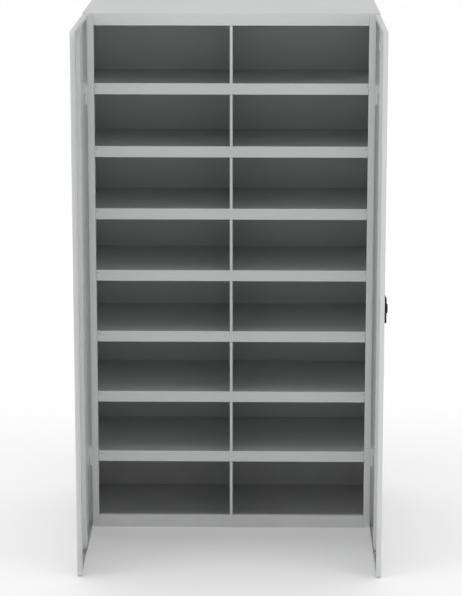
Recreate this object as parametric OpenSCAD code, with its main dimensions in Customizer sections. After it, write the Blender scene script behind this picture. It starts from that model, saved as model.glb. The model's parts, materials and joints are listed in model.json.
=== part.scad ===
// Two-door sheet-steel sorting cabinet with pigeonhole compartments.
// Origin: middle of the base on the floor. +Z is up and the doors are on the -Y side.

/* [Cabinet] */
// Outer width of the cabinet
body_w = 1000; // [800:10:1200]
// Outer height of the cabinet
body_h = 1808; // [1788:1:2150]
// Outer depth of the cabinet without its doors
body_d = 480; // [380:1:600]
// Thickness of the folded steel sheet
sheet_t = 1; // [0.8:0.1:1.2]
// Visible width of each front upright
upright_w = 36.25; // [32:0.25:44]
// Height of the front rail under the top
top_rail_h = 42; // [34:0.5:56]
// Height of the front rail of the base
base_rail_h = 44.5; // [36:0.5:56]
// Depth of the return folded behind each front edge
return_d = 15; // [13:0.5:18]
// Width of the flanges along the other folded edges
flange_w = 15; // [10:0.5:18]

/* [Compartments] */
// Number of shelves
shelf_count = 7; // [2:1:7]
// Height from one shelf to the next
shelf_pitch = 215.3; // [150:0.1:218]
// Height of the strip on the front edge of a shelf
strip_h = 38; // [30:0.5:48]
// Height of the strip above the shelf surface
strip_rise = 16; // [12:0.5:17]
// Diameter of the holes near the ends of a strip
strip_hole_d = 4.2; // [3.6:0.1:5]
// Width of the folded front edge of a divider
divider_front_w = 9.3; // [6:0.1:14]
// Depth of the folded front edge of a divider
divider_fold_d = 10; // [6:0.5:13]
// Distance of the dividers behind the front of the cabinet
divider_setback = 1; // [0.5:0.5:4]
// Depth of the slotted rails that carry the shelves
rail_d = 8; // [6.5:0.5:12]
// Width of the slotted rails
rail_w = 30; // [26:1:40]

/* [Doors] */
// Thickness of each door
door_t = 16; // [15:0.5:22]
// Gap between a closed door and the front of the cabinet
door_gap = 3.5; // [2.5:0.1:5]
// Gap between the two closed doors
meeting_gap = 3; // [2:0.5:5]
// Gap above and below the doors
end_gap = 5; // [3:0.5:8]
// Distance from the hinged edge of a door to the side of the cabinet
side_inset = 1; // [0.5:0.1:2]
// Width of the lip around the inside of a door
lip_w = 14; // [10:0.5:16]
// Angle at which the doors stand open
door_open = 90; // [0:1:100]

/* [Hinges] */
// Distance from each pivot to the outer face of its door
pivot_in = 8.5; // [8:0.1:9]
// Height of the lower hinges above the floor
lower_hinge_z = 263; // [200:1:400]
// Distance of the upper hinges below the top
upper_hinge_drop = 273; // [200:1:400]
// Outer diameter of the hinge barrels
barrel_d = 9; // [8:0.1:9.5]
// Diameter of the hinge pins
pin_d = 5; // [4:0.1:6]
// Height of each hinge barrel
barrel_h = 32; // [24:1:34]

/* [Lock] */
// Height of the handle's middle above the floor
handle_z = 902; // [800:1:1000]
// Distance from the handle's middle to the free edge of the door
handle_inset = 48.5; // [46:0.5:60]
// Height of the handle plate
plate_h = 93; // [80:1:110]
// Width of the handle plate
plate_w = 34; // [32:1:40]
// How far the handle plate stands out from the door
plate_t = 8; // [6:0.5:12]
// Length of the turning knob
knob_l = 31; // [26:0.5:31]
// Thickness of the turning knob
knob_t = 3.5; // [2.5:0.1:5]
// Number of teeth on the pinion
pinion_teeth = 12; // [12:4:12]
// Module of the pinion and racks
tooth_module = 1.5; // [1.4:0.05:1.5]
// Width of the lock rods
rod_w = 9; // [7:0.5:9]
// Thickness of the lock rods
rod_t = 3; // [2:0.1:3]

/* [Hidden] */
$fn = 48;
seam = 0.2;        // butt joints between folded sheets
fit = 0.05;        // radial clearance of pins, journals and cylinders
slide_fit = 0.15;  // clearance around a sliding rod
move_gap = 0.3;    // clearance between parts that move past each other

y_front = -body_d / 2;
y_back = body_d / 2;
side_x = body_w / 2;
open_x = side_x - upright_w;
top_rail_z = body_h - top_rail_h;

strip_gap = (top_rail_z - base_rail_h - strip_h - (shelf_count - 1) * shelf_pitch) / 2;
function strip_z(i) = base_rail_h + strip_gap + (i - 1) * shelf_pitch;
function shelf_z(i) = strip_z(i) + strip_h - strip_rise;

clip_gap = 2;
rail_face = side_x - sheet_t - rail_d;
shelf_half = rail_face - clip_gap;
shelf_front = y_front + sheet_t;
shelf_step = y_front + return_d + 0.5;
shelf_rear = y_back - 2 * sheet_t - 0.5;
shelf_flange_h = strip_h - strip_rise - sheet_t - 0.5;
rail_t = 1.2;
rail_front_y = y_front + 60;
rail_rear_y = y_back - 60;
rail_low = flange_w + 5;
rail_high = body_h - flange_w - 5;
slot_w = 12;
slot_h = 3;
slot_rise = 8;
spare_slot_rise = 33;
clip_w = 24;
clip_t = 1.6;
clip_h = 16;
ledge_l = 12;
hook_w = 10;
strip_hole_x = open_x - 6.2;
strip_hole_high = 9.5;
strip_hole_low = 29.4;

y_inner = y_front - door_gap;
y_outer = y_inner - door_t;
y_skin = y_outer + sheet_t;
door_x0 = meeting_gap / 2;
door_x1 = side_x - side_inset;
door_w = door_x1 - door_x0;
door_z0 = end_gap;
door_h = body_h - 2 * end_gap;
door_mid = (door_x0 + door_x1) / 2;
// Each pivot is as far in as lets the inner corner of its swinging door clear the front,
// rounded down to half a millimetre.
swing_r = y_front - y_outer - pivot_in - move_gap;
swing_reach = sqrt(pow(swing_r, 2) - pow(door_t - pivot_in, 2));
pivot_side = floor(2 * (side_inset + swing_reach)) / 2;
pivot_x = side_x - pivot_side;
pivot_y = y_outer + pivot_in;
hinge_levels = [lower_hinge_z, body_h - upper_hinge_drop];
washer_t = 1;
notch_half = barrel_h + 5;
notch_reach = 8;
leaf_l = 24;
leaf_t = 2.5;
stay_t = 3;
hat_w = 54;
hat_foot = 13;
hat_d = 12;
batten_t = 1.2;
batten_reach = 13;
batten_offset = 0.4;

hx = door_x0 + handle_inset;
hz = handle_z;
stem_d = 18;
grip_w = 15;
hub_d = 20;
core_d = 11;
core_l = 8.5;
spindle_w = 8;
journal_d = 12;
case_t = 1.5;
case_h = 56;
case_d = 11;
cover_t = 1.5;
screw_rise = 18;
screw_d = 3.9;
head_d = 7.5;
pitch_r = pinion_teeth * tooth_module / 2;
tooth_pitch = PI * tooth_module;
pressure = 20;
base_r = pitch_r * cos(pressure);
tip_r = pitch_r + 0.9 * tooth_module;
root_r = pitch_r - 1.25 * tooth_module;
backlash = 0.2;
rack_tip = 0.65 * tooth_module;
rack_root = tip_r - pitch_r + 0.5;
rod_in = pitch_r + rack_root;
rod_out = rod_in + rod_w;
case_half = rod_out + case_t + 2.5;
rod_y = y_skin + case_t + 5;
rack_low = 24;
keeper_play = 1.5;
tongue_y = y_front + sheet_t + keeper_play + rod_t / 2 + 1;
tongue_l = 25;
keeper_gap = 3;
jog = tongue_y - rod_y;
jog_corner = rod_t * tan(22.5);
upper_reach = top_rail_z - keeper_gap - hz;
lower_reach = hz - base_rail_h - keeper_gap;
guide_near = 250;   // from the handle to the first rod guides
guide_tail = 214.5; // from the far guides to the end of the shorter rod
guide_levels = [guide_near, min(upper_reach, lower_reach) - guide_tail];
guide_wall = 3.5;
guide_h = 16;

shell_grey = [0.79, 0.81, 0.80];
steel_grey = [0.66, 0.67, 0.68];
lock_black = [0.05, 0.05, 0.05];

function numbered(stem, n) = [for (i = [1:n]) str(stem, i)];

// Box given by its low corner and its high corner.
module block(low, high) {
    translate(low) cube(high - low);
}

// Cylinder along +Y that starts at y.
module along_y(x, y, z, d, l) {
    translate([x, y, z]) rotate([-90, 0, 0]) cylinder(d = d, h = l);
}

// Outline in Y and Z, extruded along +X from x.
module along_x(x, l) {
    translate([x, 0, 0]) rotate([90, 0, 90]) linear_extrude(l) children();
}

module mirrored_copy() {
    children();
    mirror([1, 0, 0]) children();
}

// Places what is drawn on the closed right door where the open door carries it.
module on_right_door() {
    translate([pivot_x, pivot_y, 0])
        rotate([0, 0, door_open])
            translate([-pivot_x, -pivot_y, 0])
                children();
}

module on_left_door() {
    mirror([1, 0, 0]) on_right_door() children();
}

// ---- Cabinet shell ----

module side_panel() {
    color(shell_grey) union() {
        block([side_x - sheet_t, y_front, 0], [side_x, y_back - sheet_t, body_h - sheet_t]);
        block([open_x, y_front, 0], [side_x, y_front + sheet_t, body_h - sheet_t]);
        block([open_x, y_front, 0], [open_x + sheet_t, y_front + return_d, body_h - sheet_t]);
        block([side_x - flange_w, y_back - 2 * sheet_t, 0],
              [side_x, y_back - sheet_t, body_h - sheet_t]);
    }
}

// Slot in the return of a rail that a rod's tongue passes through.
module keeper_slot(x_mid, z) {
    half_x = rod_w / 2 + keeper_play;
    half_y = rod_t / 2 + keeper_play;
    block([x_mid - half_x, tongue_y - half_y, z - 1],
          [x_mid + half_x, tongue_y + half_y, z + sheet_t + 1]);
}

module top_panel() {
    rail_x = open_x - seam;
    under = body_h - sheet_t;
    color(shell_grey) difference() {
        union() {
            block([-side_x, y_front, under], [side_x, y_back, body_h]);
            block([-rail_x, y_front, top_rail_z], [rail_x, y_front + sheet_t, body_h]);
            block([-rail_x, y_front, top_rail_z],
                  [rail_x, y_front + return_d, top_rail_z + sheet_t]);
            mirrored_copy()
                block([side_x - 2 * sheet_t, shelf_step, under - flange_w],
                      [side_x - sheet_t, shelf_rear, body_h]);
        }
        keeper_slot(hx + rod_in + rod_w / 2, top_rail_z);
    }
}

module base_pan() {
    rail_x = open_x - seam;
    color(shell_grey) difference() {
        union() {
            block([-rail_x, y_front, 0], [rail_x, y_back - sheet_t, sheet_t]);
            block([-side_x + sheet_t, shelf_step, 0], [side_x - sheet_t, shelf_rear, sheet_t]);
            block([-rail_x, y_front, 0], [rail_x, y_front + sheet_t, base_rail_h]);
            block([-rail_x, y_front, base_rail_h - sheet_t],
                  [rail_x, y_front + return_d, base_rail_h]);
            mirrored_copy()
                block([side_x - 2 * sheet_t, shelf_step, 0],
                      [side_x - sheet_t, shelf_rear, flange_w]);
        }
        keeper_slot(hx - rod_in - rod_w / 2, base_rail_h - sheet_t);
    }
}

module back_panel() {
    color(shell_grey)
        block([-side_x, y_back - sheet_t, 0], [side_x, y_back, body_h - sheet_t]);
}

// ---- Shelves ----

module shelf_rail(y_mid) {
    color(steel_grey) difference() {
        block([rail_face, y_mid - rail_w / 2, rail_low],
              [side_x - sheet_t, y_mid + rail_w / 2, rail_high]);
        block([rail_face + rail_t, y_mid - rail_w / 2 + rail_t, rail_low - 1],
              [side_x, y_mid + rail_w / 2 - rail_t, rail_high + 1]);
        for (i = [1:shelf_count])
            for (rise = [slot_rise, spare_slot_rise])
                translate([rail_face, y_mid, shelf_z(i) - shelf_flange_h + rise])
                    cube([3 * rail_t, slot_w, slot_h], center = true);
    }
}

module shelf(i) {
    z = shelf_z(i);
    low = z - shelf_flange_h;
    front_x = open_x - 0.5;
    color(shell_grey) difference() {
        union() {
            block([-front_x, shelf_front, z - sheet_t], [front_x, shelf_rear, z]);
            block([-shelf_half, shelf_step, z - sheet_t], [shelf_half, shelf_rear, z]);
            block([-front_x, shelf_front, low], [front_x, shelf_front + sheet_t, z]);
            block([-shelf_half, shelf_rear - sheet_t, low], [shelf_half, shelf_rear, z]);
            mirrored_copy()
                block([shelf_half - sheet_t, shelf_step, low], [shelf_half, shelf_rear, z]);
        }
        strip_holes(i, strip_hole_low);
    }
}

module strip_holes(i, drop) {
    for (side = [-1, 1])
        along_y(side * strip_hole_x, y_front - 1, strip_z(i) + strip_h - drop, strip_hole_d, 5);
}

module shelf_strip(i) {
    z = strip_z(i);
    half = open_x - 0.5;
    color(shell_grey) difference() {
        union() {
            block([-half, y_front, z], [half, y_front + sheet_t, z + strip_h]);
            block([-half, y_front, z], [half, y_front + 9, z + sheet_t]);
            block([-half, y_front, z + strip_h - sheet_t], [half, y_front + 3, z + strip_h]);
        }
        strip_holes(i, strip_hole_high);
        strip_holes(i, strip_hole_low);
    }
}

module strip_rivets() {
    color(steel_grey)
        for (i = [1:shelf_count], side = [-1, 1]) {
            x = side * strip_hole_x;
            z = strip_z(i) + strip_h - strip_hole_low;
            along_y(x, y_front - 0.8, z, 6.2, 0.8);
            along_y(x, y_front - 0.4, z, strip_hole_d - 0.2, 2 * sheet_t + 0.6);
            along_y(x, y_front + 2 * sheet_t, z, 5.6, 0.8);
        }
}

module shelf_clip(y_mid, ledge_z) {
    z_slot = ledge_z + slot_rise;
    union() {
        block([rail_face - clip_t, y_mid - clip_w / 2, ledge_z - clip_t],
              [rail_face, y_mid + clip_w / 2, ledge_z + clip_h]);
        block([rail_face - ledge_l, y_mid - clip_w / 2, ledge_z - clip_t],
              [rail_face, y_mid + clip_w / 2, ledge_z]);
        block([rail_face - clip_t, y_mid - hook_w / 2, z_slot - 1],
              [rail_face + rail_t + 2, y_mid + hook_w / 2, z_slot + 1]);
        block([rail_face + rail_t + 0.2, y_mid - hook_w / 2, z_slot - 7],
              [rail_face + rail_t + 2, y_mid + hook_w / 2, z_slot + 1]);
    }
}

module shelf_clips() {
    color(steel_grey)
        for (i = [1:shelf_count], y_mid = [rail_front_y, rail_rear_y])
            mirrored_copy() shelf_clip(y_mid, shelf_z(i) - shelf_flange_h);
}

// Upright divider of row j, counted from the bottom.
module divider(j) {
    z0 = j == 1 ? sheet_t : shelf_z(j - 1);
    z1 = j == shelf_count + 1 ? body_h - sheet_t : shelf_z(j) - sheet_t;
    fold_z0 = (j == 1 ? base_rail_h : strip_z(j - 1) + strip_h) + seam;
    fold_z1 = (j == shelf_count + 1 ? top_rail_z : strip_z(j)) - seam;
    front = y_front + divider_setback;
    rear = shelf_rear - sheet_t - 0.5;
    half = divider_front_w / 2;
    web = sheet_t / 2;
    color(shell_grey) union() {
        block([-web, shelf_step, z0], [web, rear, z1]);
        block([-web, front, fold_z0], [web, rear, fold_z1]);
        block([-half, front, fold_z0], [half, front + sheet_t, fold_z1]);
        mirrored_copy()
            block([half - sheet_t, front, fold_z0], [half, front + divider_fold_d, fold_z1]);
        block([-web, shelf_step + 5, z0], [flange_w, rear - 8, z0 + sheet_t]);
        block([-web, shelf_step + 5, z1 - sheet_t], [flange_w, rear - 8, z1]);
    }
}

// ---- Hinges ----

// Lower half of a lift-off hinge, fixed to the upright.
module hinge_pin(z) {
    color(steel_grey) union() {
        translate([pivot_x, pivot_y, z - barrel_h]) cylinder(d = barrel_d, h = barrel_h);
        translate([pivot_x, pivot_y, z - barrel_h]) cylinder(d = pin_d, h = 2 * barrel_h - 2);
        block([pivot_x - stay_t / 2, pivot_y, z - barrel_h],
              [pivot_x + stay_t / 2, y_front, z]);
    }
}

module hinge_washers() {
    color("goldenrod")
        for (z = hinge_levels)
            mirrored_copy()
                translate([pivot_x, pivot_y, z])
                    difference() {
                        cylinder(d = barrel_d, h = washer_t);
                        translate([0, 0, -1]) cylinder(d = pin_d + 0.2, h = washer_t + 2);
                    }
}

// Upper half of a lift-off hinge, fixed inside the door.
module knuckle(z) {
    z0 = z + washer_t + move_gap;
    z1 = z + barrel_h;
    color(steel_grey) difference() {
        union() {
            translate([pivot_x, pivot_y, z0]) cylinder(d = barrel_d, h = z1 - z0);
            block([pivot_x - leaf_l, y_skin, z0], [pivot_x, y_skin + leaf_t, z1]);
            block([pivot_x - barrel_d / 2, y_skin, z0], [pivot_x, pivot_y, z1]);
        }
        translate([pivot_x, pivot_y, z0 - 1]) cylinder(d = pin_d + 2 * fit, h = z1 - z0 + 2);
    }
}

// ---- Doors ----

module door_pan(with_lock) {
    t = sheet_t;
    top = door_z0 + door_h;
    color(shell_grey) difference() {
        block([door_x0, y_outer, door_z0], [door_x1, y_inner, top]);
        block([door_x0 + t, y_skin, door_z0 + t], [door_x1 - t, y_inner - t, top - t]);
        block([door_x0 + lip_w, y_skin, door_z0 + lip_w],
              [door_x1 - lip_w, y_inner + 1, top - lip_w]);
        for (z = hinge_levels)
            block([pivot_x - notch_reach, y_skin, z - notch_half],
                  [side_x + 1, y_inner + 1, z + notch_half]);
        if (with_lock)
            along_y(hx, y_outer - 1, hz, stem_d + 2, sheet_t + 2);
    }
}

module door_stiffener() {
    z0 = door_z0 + sheet_t + 0.5;
    z1 = door_z0 + door_h - sheet_t - 0.5;
    half = hat_w / 2;
    t = sheet_t;
    color(shell_grey) union() {
        block([door_mid - half, y_skin + hat_d - t, z0], [door_mid + half, y_skin + hat_d, z1]);
        for (side = [-1, 1])
            translate([door_mid, 0, 0])
                mirror([side < 0 ? 1 : 0, 0, 0]) {
                    block([half - t, y_skin, z0], [half, y_skin + hat_d, z1]);
                    block([half - t, y_skin, z0], [half + hat_foot, y_skin + t, z1]);
                }
    }
}

// Flat bar on the door that closes first: the other door shuts over it.
module closing_batten() {
    z0 = door_z0 + lip_w + 1;
    z1 = door_z0 + door_h - lip_w - 1;
    step = y_inner + batten_offset;
    color(shell_grey) union() {
        block([door_x0 - 1.2, y_inner, z0], [door_x0 + lip_w - 2, y_inner + batten_t, z1]);
        block([-batten_reach, step, z0], [door_x0, step + batten_t, z1]);
    }
}

// ---- Handle and lock ----

module handle_plate() {
    half = plate_h / 2;
    corner = 5;
    bevel = 1.5;
    color(lock_black) difference() {
        intersection() {
            along_x(hx - plate_w / 2, plate_w)
                polygon([
                    [y_outer, hz - half],
                    [y_outer - plate_t + bevel, hz - half],
                    [y_outer - plate_t, hz - half + bevel],
                    [y_outer - plate_t, hz + half - 12],
                    [y_outer - bevel, hz + half],
                    [y_outer, hz + half]
                ]);
            union() {
                block([hx - plate_w / 2, y_outer - plate_t, hz - half + corner],
                      [hx + plate_w / 2, y_outer, hz + half - corner]);
                block([hx - plate_w / 2 + corner, y_outer - plate_t, hz - half],
                      [hx + plate_w / 2 - corner, y_outer, hz + half]);
                for (sx = [-1, 1], sz = [-1, 1])
                    along_y(hx + sx * (plate_w / 2 - corner), y_outer - plate_t,
                            hz + sz * (half - corner), 2 * corner, plate_t);
            }
        }
        along_y(hx, y_outer - plate_t - 1, hz, stem_d + 2 * fit, plate_t + 2);
    }
}

module turn_knob() {
    back = y_outer - plate_t - move_gap;
    face = back - knob_t;
    stem_end = y_skin - move_gap;
    end_z = knob_l / 2 - grip_w / 2;
    color(lock_black) difference() {
        union() {
            for (side = [-1, 1])
                along_y(hx, face, hz + side * end_z, grip_w, knob_t);
            block([hx - grip_w / 2, face, hz - end_z], [hx + grip_w / 2, back, hz + end_z]);
            along_y(hx, face, hz, hub_d, knob_t);
            along_y(hx, face, hz, stem_d, stem_end - face);
        }
        along_y(hx, face - 1, hz, core_d + 2 * fit, core_l + 1.2);
        spindle_block(stem_end - 4, stem_end + 1, spindle_w + 2 * fit);
    }
}

module spindle_block(y0, y1, w) {
    block([hx - w / 2, y0, hz - w / 2], [hx + w / 2, y1, hz + w / 2]);
}

// Key cylinder in the middle of the knob.
module lock_cylinder() {
    face = y_outer - plate_t - move_gap - knob_t;
    color("silver") difference() {
        along_y(hx, face, hz, core_d, core_l);
        block([hx - 0.8, face - 1, hz - 3.6], [hx + 0.8, face + 6, hz + 3.6]);
    }
}

module lock_spindle() {
    end = y_skin + case_d + cover_t - 0.2;
    color(steel_grey) difference() {
        spindle_block(y_skin - move_gap - 3.8, end, spindle_w);
        along_y(hx, end - 8, hz, 4, 9);
    }
}

module spindle_screw() {
    end = y_skin + case_d + cover_t - 0.2;
    color("silver") union() {
        along_y(hx, end, hz, 10, 1.6);
        along_y(hx, end - 7, hz, screw_d, 8);
    }
}

function involute_angle(r) = r <= base_r ? 0 : tan(acos(base_r / r)) * 180 / PI - acos(base_r / r);

// Half the angle that a tooth covers at radius r.
function tooth_half_angle(r) =
    90 / pinion_teeth - backlash / 2 / pitch_r * 180 / PI
    + involute_angle(pitch_r) - involute_angle(r);

function on_circle(r, a) = [r * cos(a), r * sin(a)];

module pinion_outline() {
    steps = 6;
    flank = [for (k = [0:steps]) root_r + (tip_r - root_r) * k / steps];
    polygon([
        for (tooth = [0:pinion_teeth - 1])
            let (mid = tooth * 360 / pinion_teeth)
            each concat(
                [for (k = [0:steps]) on_circle(flank[k], mid - tooth_half_angle(flank[k]))],
                [for (k = [steps:-1:0]) on_circle(flank[k], mid + tooth_half_angle(flank[k]))]
            )
    ]);
}

module lock_pinion() {
    front = y_skin + seam;
    rear = y_skin + case_d + cover_t - 0.4;
    color(steel_grey) difference() {
        union() {
            translate([hx, rod_y + 2, hz]) rotate([90, 0, 0]) linear_extrude(4) pinion_outline();
            along_y(hx, front, hz, journal_d, rear - front);
        }
        spindle_block(front - 1, rear + 1, spindle_w + 2 * fit);
    }
}

module lock_case() {
    t = case_t;
    y1 = y_skin + case_d;
    half_h = case_h / 2;
    slot = rod_t / 2 + 2 * slide_fit;
    color(steel_grey) difference() {
        union() {
            difference() {
                block([hx - case_half, y_skin, hz - half_h], [hx + case_half, y1, hz + half_h]);
                block([hx - case_half + t, y_skin + t, hz - half_h + t],
                      [hx + case_half - t, y1 + 1, hz + half_h - t]);
            }
            for (side = [-1, 1])
                along_y(hx, y_skin, hz + side * screw_rise, 7, case_d);
        }
        along_y(hx, y_skin - 1, hz, journal_d + 2 * fit, t + 2);
        for (side = [-1, 1]) {
            along_y(hx, y_skin + 3, hz + side * screw_rise, screw_d + 0.1, case_d);
            half_turn(side)
                block([hx + rod_in - 2 * slide_fit, rod_y - slot, hz + half_h - t - 1],
                      [hx + rod_out + 2 * slide_fit, rod_y + slot, hz + half_h + 1]);
        }
    }
}

module lock_cover() {
    y0 = y_skin + case_d;
    color(steel_grey) difference() {
        block([hx - case_half, y0, hz - case_h / 2], [hx + case_half, y0 + cover_t, hz + case_h / 2]);
        along_y(hx, y0 - 1, hz, journal_d + 2 * fit, cover_t + 2);
        for (side = [-1, 1])
            along_y(hx, y0 - 1, hz + side * screw_rise, screw_d + 0.3, cover_t + 2);
    }
}

module lock_screws() {
    y0 = y_skin + case_d + cover_t;
    color("silver")
        for (side = [-1, 1]) {
            along_y(hx, y0, hz + side * screw_rise, head_d, 1.8);
            along_y(hx, y0 - 8, hz + side * screw_rise, screw_d, 9);
        }
}

// Turns what is drawn for the upper rod into its twin for the lower rod.
module half_turn(side) {
    translate([hx, 0, hz])
        rotate([0, side < 0 ? 180 : 0, 0])
            translate([-hx, 0, -hz])
                children();
}

module rack_tooth(z) {
    half = tooth_pitch / 4 - backlash / 2;
    tip = half - rack_tip * tan(pressure);
    root = half + rack_root * tan(pressure);
    translate([hx, rod_y + rod_t / 2, hz + z])
        rotate([90, 0, 0])
            linear_extrude(rod_t)
                polygon([
                    [pitch_r - rack_tip, -tip],
                    [rod_in + 0.5, -root],
                    [rod_in + 0.5, root],
                    [pitch_r - rack_tip, tip]
                ]);
}

// Flat rod with a rack at one end and a tongue that slides behind the frame.
module lock_rod(reach) {
    half = rod_t / 2;
    bend = hz + reach - tongue_l - jog;
    color(steel_grey) union() {
        along_x(hx + rod_in, rod_w)
            polygon([
                [rod_y - half, hz - rack_low],
                [rod_y + half, hz - rack_low],
                [rod_y + half, bend],
                [tongue_y + half, bend + jog],
                [tongue_y + half, hz + reach],
                [tongue_y - half, hz + reach],
                [tongue_y - half, bend + jog + jog_corner],
                [rod_y - half, bend + jog_corner]
            ]);
        for (k = [-5:1])
            rack_tooth((k + 0.5) * tooth_pitch);
    }
}

module rod_guide(z) {
    slot_x = slide_fit;
    slot_y = rod_t / 2 + slide_fit;
    color(lock_black) difference() {
        block([hx + rod_in - guide_wall, y_skin, hz + z - guide_h / 2],
              [hx + rod_out + guide_wall, rod_y + slot_y + 2, hz + z + guide_h / 2]);
        block([hx + rod_in - slot_x, rod_y - slot_y, hz + z - guide_h],
              [hx + rod_out + slot_x, rod_y + slot_y, hz + z + guide_h]);
    }
}

module rod_guides() {
    for (side = [-1, 1], z = guide_levels)
        half_turn(side) rod_guide(z);
}

// ---- Nodes ----

mirror([1, 0, 0]) side_panel();  // left_side_panel
side_panel();  // right_side_panel
top_panel();
base_pan();
back_panel();
mirror([1, 0, 0]) shelf_rail(rail_front_y);  // left_front_rail
mirror([1, 0, 0]) shelf_rail(rail_rear_y);  // left_rear_rail
shelf_rail(rail_front_y);  // right_front_rail
shelf_rail(rail_rear_y);  // right_rear_rail
for (i = [1:shelf_count])
    shelf(i);
for (i = [1:shelf_count])
    shelf_strip(i);
for (j = [1:shelf_count + 1])
    divider(j);
shelf_clips();
strip_rivets();
hinge_washers();
mirror([1, 0, 0]) hinge_pin(hinge_levels[0]);  // left_lower_hinge_pin
mirror([1, 0, 0]) hinge_pin(hinge_levels[1]);  // left_upper_hinge_pin
hinge_pin(hinge_levels[0]);  // right_lower_hinge_pin
hinge_pin(hinge_levels[1]);  // right_upper_hinge_pin
on_left_door() door_pan(false);  // left_door_pan
on_left_door() door_stiffener();  // left_door_stiffener
on_left_door() closing_batten();  // left_closing_batten
on_left_door() knuckle(hinge_levels[0]);  // left_lower_knuckle
on_left_door() knuckle(hinge_levels[1]);  // left_upper_knuckle
on_right_door() door_pan(true);  // right_door_pan
on_right_door() door_stiffener();  // right_door_stiffener
on_right_door() knuckle(hinge_levels[0]);  // right_lower_knuckle
on_right_door() knuckle(hinge_levels[1]);  // right_upper_knuckle
on_right_door() handle_plate();
on_right_door() lock_case();
on_right_door() lock_cover();
on_right_door() lock_screws();
on_right_door() rod_guides();
on_right_door() turn_knob();
on_right_door() lock_spindle();
on_right_door() lock_pinion();
on_right_door() spindle_screw();
on_right_door() lock_cylinder();
on_right_door() lock_rod(upper_reach);  // upper_lock_rod
on_right_door() half_turn(-1) lock_rod(lower_reach);  // lower_lock_rod
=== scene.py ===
import json
import math

import bpy
import numpy as np
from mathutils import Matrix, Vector


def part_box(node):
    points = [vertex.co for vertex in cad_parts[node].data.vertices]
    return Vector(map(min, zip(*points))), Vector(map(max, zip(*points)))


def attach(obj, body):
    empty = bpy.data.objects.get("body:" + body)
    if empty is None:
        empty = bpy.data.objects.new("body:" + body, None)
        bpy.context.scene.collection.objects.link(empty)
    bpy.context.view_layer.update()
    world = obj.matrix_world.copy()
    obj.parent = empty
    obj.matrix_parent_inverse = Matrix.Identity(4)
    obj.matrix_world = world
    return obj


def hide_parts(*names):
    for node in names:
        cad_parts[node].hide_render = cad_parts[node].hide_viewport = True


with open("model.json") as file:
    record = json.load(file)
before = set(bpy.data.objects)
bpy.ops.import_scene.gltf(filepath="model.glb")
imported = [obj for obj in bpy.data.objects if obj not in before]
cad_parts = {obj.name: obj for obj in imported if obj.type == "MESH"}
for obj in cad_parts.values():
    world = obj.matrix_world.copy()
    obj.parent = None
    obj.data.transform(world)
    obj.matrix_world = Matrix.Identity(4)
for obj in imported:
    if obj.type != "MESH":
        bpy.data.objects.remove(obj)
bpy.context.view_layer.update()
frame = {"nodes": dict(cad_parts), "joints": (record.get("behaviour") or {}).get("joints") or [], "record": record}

mm = 0.001
nodes = frame["nodes"]
subparts = frame["record"]["subparts"]
joints = {joint["name"]: joint for joint in frame["joints"]}
print("frame loaded:", len(nodes), "nodes")

sides = (("left", -1), ("right", 1))
arcSteps = 5               # stretches in a rounded corner
cutterSpare = 1 * mm       # a cutter reaches this far outside what it cuts
# In degrees: bends under the first are shaded round, edges over the second are bevelled.
edgeLook = {"shadeRound": 35, "bevelOver": 40, "bevelSegments": 2}


# One object from points and faces; bends under the sharp angle are shaded round.
def makePiece(name, points, faces, material, sharpAngle=edgeLook["shadeRound"]):
    mesh = bpy.data.meshes.new(name)
    mesh.from_pydata(np.asarray(points, float).tolist(), [], [list(map(int, f)) for f in faces])
    mesh.polygons.foreach_set("use_smooth", np.ones(len(mesh.polygons), bool))
    mesh.set_sharp_from_angle(angle=math.radians(sharpAngle))
    mesh.update()
    piece = bpy.data.objects.new(name, mesh)
    bpy.context.scene.collection.objects.link(piece)
    piece.data.materials.append(material)
    return piece


# Quads of a grid of points, rows by columns, closed round in either direction if asked.
def gridFaces(rows, cols, closeRows=False, closeCols=False):
    r = np.arange(rows if closeRows else rows - 1)[:, None]
    c = np.arange(cols if closeCols else cols - 1)[None, :]
    r2, c2 = (r + 1) % rows, (c + 1) % cols
    quads = np.stack([r * cols + c, r * cols + c2, r2 * cols + c2, r2 * cols + c], -1)
    return quads.reshape(-1, 4).tolist()


# Several (points, faces) shells as one.
def joined(*shells):
    points, faces, start = [], [], 0
    for shellPoints, shellFaces in shells:
        points.append(np.asarray(shellPoints, float))
        faces += [[i + start for i in face] for face in shellFaces]
        start += len(shellPoints)
    return np.concatenate(points), faces


# The line through the points with each corner replaced by an arc of the given radius, and the
# direction of travel at every point.
def roundedLine(points, radius, steps):
    p = np.asarray(points, float)
    line, along = [p[0]], [p[1] - p[0]]
    for a, b, c in zip(p[:-2], p[1:-1], p[2:]):
        u = (b - a) / np.linalg.norm(b - a)
        v = (c - b) / np.linalg.norm(c - b)
        turn = math.atan2(u[0] * v[1] - u[1] * v[0], u @ v)
        cut = radius * math.tan(abs(turn) / 2)
        centre = b - u * cut + np.array([-u[1], u[0]]) * radius * np.sign(turn)
        for k in np.linspace(0, turn, steps + 1):
            rotate = np.array([[math.cos(k), -math.sin(k)], [math.sin(k), math.cos(k)]])
            line.append(centre + rotate @ (b - u * cut - centre))
            along.append(rotate @ u)
    line.append(p[-1])
    along.append(p[-1] - p[-2])
    along = np.array(along)
    return np.array(line), along / np.linalg.norm(along, axis=1)[:, None]


# Closed outline of a folded sheet: the middle line moved half a thickness to each side.
def sheetOutline(points, thickness, radius, steps):
    line, along = roundedLine(points, radius, steps)
    side = np.stack([-along[:, 1], along[:, 0]], 1) * thickness / 2
    return np.concatenate([line - side, (line + side)[::-1]])


# Twice the signed area, positive when the outline runs anticlockwise.
def outlineTurn(outline):
    nextPoint = np.roll(outline, -1, 0)
    return float(np.sum(outline[:, 0] * nextPoint[:, 1] - outline[:, 1] * nextPoint[:, 0]))


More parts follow.
